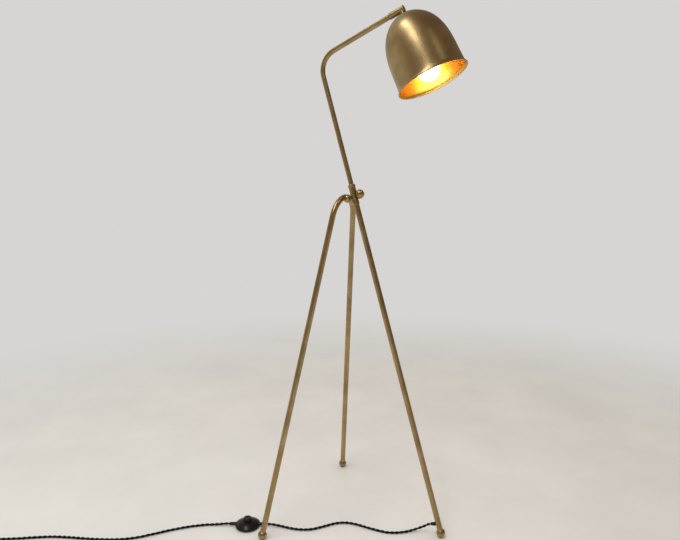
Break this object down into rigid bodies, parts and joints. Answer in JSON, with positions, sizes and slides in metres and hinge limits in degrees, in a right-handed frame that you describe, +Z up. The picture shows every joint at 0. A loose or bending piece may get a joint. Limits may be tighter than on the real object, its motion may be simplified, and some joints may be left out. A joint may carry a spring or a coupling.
{
  "type": "tripod floor lamp",
  "caption": "Brass tripod floor lamp with ball feet, a telescoping stem, a bent arm, a swivelling bell shade and a foot switch on its cord.",
  "frame": {"origin": "on the floor, under the middle of the box of the lamp without its cord", "axes": "+Z up; -Y towards the side the shade shines to, where the front leg stands; the rear legs stand at -X and +X, the foot switch beside the one at -X"},
  "size_m": [0.8768, 1.0982, 1.2989],
  "materials": {
    "satin_brass": "satin, lightly brushed antique brass",
    "zinc_steel": "zinc plated",
    "black_plastic": "satin black, moulded",
    "black_rubber": "matt",
    "white_nylon": "matt",
    "white_ceramic": "glazed ceramic",
    "opal_glass": "opal white, lit",
    "cord_fabric": "twisted two-core cord in black woven cotton"
  },
  "bodies": {
    "stand": {"button_spring": "zinc_steel", "coil_tie": "black_rubber", "contact_block": "black_plastic", "cord_coil": "cord_fabric", "cord_grommet": "black_plastic", "cord_lamp_to_switch": "cord_fabric", "cord_switch_to_coil": "cord_fabric", "cord_tail": "cord_fabric", "front_foot_ball": "satin_brass", "front_foot_insert": "zinc_steel", "front_foot_pad": "black_rubber", "front_leg_tube": "satin_brass", "hairpin_tube": "satin_brass", "hub_ball": "satin_brass", "hub_pin": "zinc_steel", "joint_sleeve": "satin_brass", "left_foot_ball": "satin_brass", "left_foot_insert": "zinc_steel", "left_foot_pad": "black_rubber", "leg_ferrule": "satin_brass", "leg_lead": "cord_fabric", "plug_body": "black_plastic", "plug_pin_a": "zinc_steel", "plug_pin_b": "zinc_steel", "plug_relief": "black_plastic", "right_foot_ball": "satin_brass", "right_foot_insert": "zinc_steel", "right_foot_pad": "black_rubber", "switch_base": "black_plastic", "switch_cover": "black_plastic", "switch_inlet_relief": "black_plastic", "switch_outlet_relief": "black_plastic", "switch_pad": "black_rubber", "switch_screw_a": "zinc_steel", "switch_screw_b": "zinc_steel"},
    "bush_turn": {"clamp_bush": "white_nylon"},
    "stem": {"stem_tube": "satin_brass", "stem_lead": "cord_fabric"},
    "knob": {"lock_knob": "satin_brass", "lock_screw": "zinc_steel"},
    "shade_head": {"swivel_collar": "satin_brass", "grub_screw": "zinc_steel", "end_cap": "satin_brass", "dome_seat": "satin_brass", "shade_bell": "satin_brass", "inner_washer": "zinc_steel", "nipple_nut": "zinc_steel", "shade_nipple": "zinc_steel", "holder_cap": "satin_brass", "holder_shell": "satin_brass", "holder_core": "white_ceramic", "centre_contact": "zinc_steel", "holder_lead": "cord_fabric", "bulb_cap": "zinc_steel", "bulb_contact": "zinc_steel", "bulb_glass": "opal_glass"},
    "button": {"switch_button": "black_plastic"}
  },
  "joints": [
    {"name": "stem_turn", "type": "hinge", "parent": "stand", "child": "bush_turn", "pos_m": [0, 0.05966, 0.85559], "axis": [0, 0.2823, 0.9593], "range_deg": [-120, 120]},
    {"name": "stem_height", "type": "slide", "parent": "bush_turn", "child": "stem", "axis": [0, 0.2823, 0.9593], "range_m": [-0.2, 0.08]},
    {"name": "knob_turn", "type": "hinge", "parent": "stand", "child": "knob", "pos_m": [0, 0.06051, 0.85847], "axis": [0, -0.9593, 0.2823], "range_deg": [0, 270]},
    {"name": "shade_swivel", "type": "hinge", "parent": "stem", "child": "shade_head", "pos_m": [0, -0.06037, 1.28859], "axis": [0, -0.9232, 0.3843], "range_deg": [-75, 75]},
    {"name": "button_press", "type": "slide", "parent": "stand", "child": "button", "axis": [0, 0, -1], "range_m": [0, 0.003], "stiffness_N_per_m": 600, "springref_m": -0.002, "deforming": ["button_spring"]}
  ]
}
